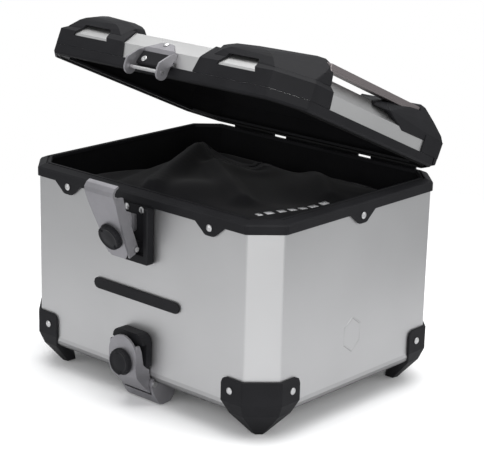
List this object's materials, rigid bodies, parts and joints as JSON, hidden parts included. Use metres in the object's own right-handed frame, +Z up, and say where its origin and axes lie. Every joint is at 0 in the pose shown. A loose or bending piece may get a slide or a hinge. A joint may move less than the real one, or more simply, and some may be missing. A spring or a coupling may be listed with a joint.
{
  "type": "motorcycle top case",
  "caption": "Hard aluminium motorcycle top case with a hinged lid held open, lever latch, mount lock, corner protectors, strap eyes, side rails and a soft inner bag.",
  "frame": {"origin": "centre of the tub's plan, on the ground plane under the four corner feet", "axes": "+X to the right as seen from the latch side, -Y towards the latch side, +Y towards the hinges, +Z up"},
  "size_m": [0.4108, 0.3946, 0.4387],
  "materials": {
    "sheet_aluminium": "satin",
    "black_plastic": "matte",
    "cast_metal": "satin",
    "rivet_metal": "polished",
    "rail_metal": "satin",
    "seal_rubber": "matte",
    "soft_fabric": "matte"
  },
  "bodies": {
    "case": {"tub_shell": "sheet_aluminium", "rim_frame": "black_plastic", "name_strip": "black_plastic", "latch_base": "black_plastic", "latch_base_rivet_left": "rivet_metal", "latch_base_rivet_right": "rivet_metal", "latch_tongue": "cast_metal", "latch_pivot_pin": "rivet_metal", "mount_lock_housing": "black_plastic", "mount_claw": "cast_metal", "mount_lock_pin": "rivet_metal", "inner_bag": "soft_fabric", "hinge_body_left": "black_plastic", "hinge_body_centre": "black_plastic", "hinge_body_right": "black_plastic", "hinge_pin_left": "rivet_metal", "hinge_pin_centre": "rivet_metal", "hinge_pin_right": "rivet_metal", "rim_rivet_front_left": "rivet_metal", "rim_rivet_front_right": "rivet_metal", "rim_rivet_right": "rivet_metal", "rim_rivet_rear_right": "rivet_metal", "rim_rivet_rear_left": "rivet_metal", "rim_rivet_left": "rivet_metal", "corner_protector_front_left": "black_plastic", "corner_protector_front_right": "black_plastic", "corner_protector_rear_left": "black_plastic", "corner_protector_rear_right": "black_plastic", "protector_rivet_front_left_x": "rivet_metal", "protector_rivet_front_left_y": "rivet_metal", "protector_rivet_front_right_x": "rivet_metal", "protector_rivet_front_right_y": "rivet_metal", "protector_rivet_rear_left_x": "rivet_metal", "protector_rivet_rear_left_y": "rivet_metal", "protector_rivet_rear_right_x": "rivet_metal", "protector_rivet_rear_right_y": "rivet_metal"},
    "lid": {"lid_shell": "sheet_aluminium", "lid_lining": "soft_fabric", "lid_band": "black_plastic", "lid_seal": "seal_rubber", "rail_left": "rail_metal", "rail_right": "rail_metal", "catch_bracket": "cast_metal", "catch_pin": "rivet_metal", "catch_insert": "black_plastic", "catch_screw": "rivet_metal", "catch_rivet": "rivet_metal", "hinge_leaf_left": "black_plastic", "hinge_leaf_centre": "black_plastic", "hinge_leaf_right": "black_plastic", "lid_cap_front_left": "black_plastic", "lid_cap_front_right": "black_plastic", "lid_cap_rear_left": "black_plastic", "lid_cap_rear_right": "black_plastic"},
    "latch_arm": {"latch_lever": "cast_metal"},
    "latch_lock": {"latch_knob": "black_plastic"},
    "mount_arm": {"mount_lock_lever": "cast_metal"},
    "mount_lock": {"mount_lock_knob": "black_plastic"}
  },
  "joints": [
    {"name": "lid_hinge", "type": "hinge", "parent": "case", "child": "lid", "pos_m": [0, 0.166, 0.276], "axis": [-1, 0, 0], "range_deg": [-23.8, 55]},
    {"name": "latch_swing", "type": "hinge", "parent": "case", "child": "latch_arm", "pos_m": [0, -0.183, 0.2], "axis": [1, 0, 0], "range_deg": [-21, 60]},
    {"name": "latch_key_turn", "type": "hinge", "parent": "latch_arm", "child": "latch_lock", "pos_m": [0, -0.20422, 0.21649], "axis": [0, -0.9336, -0.3584], "range_deg": [0, 90]},
    {"name": "mount_swing", "type": "hinge", "parent": "case", "child": "mount_arm", "pos_m": [0, -0.16, 0.03], "axis": [1, 0, 0], "range_deg": [0, 70]},
    {"name": "mount_key_turn", "type": "hinge", "parent": "mount_arm", "child": "mount_lock", "pos_m": [0, -0.1873, 0.059], "axis": [0, -1, 0], "range_deg": [0, 90]}
  ]
}
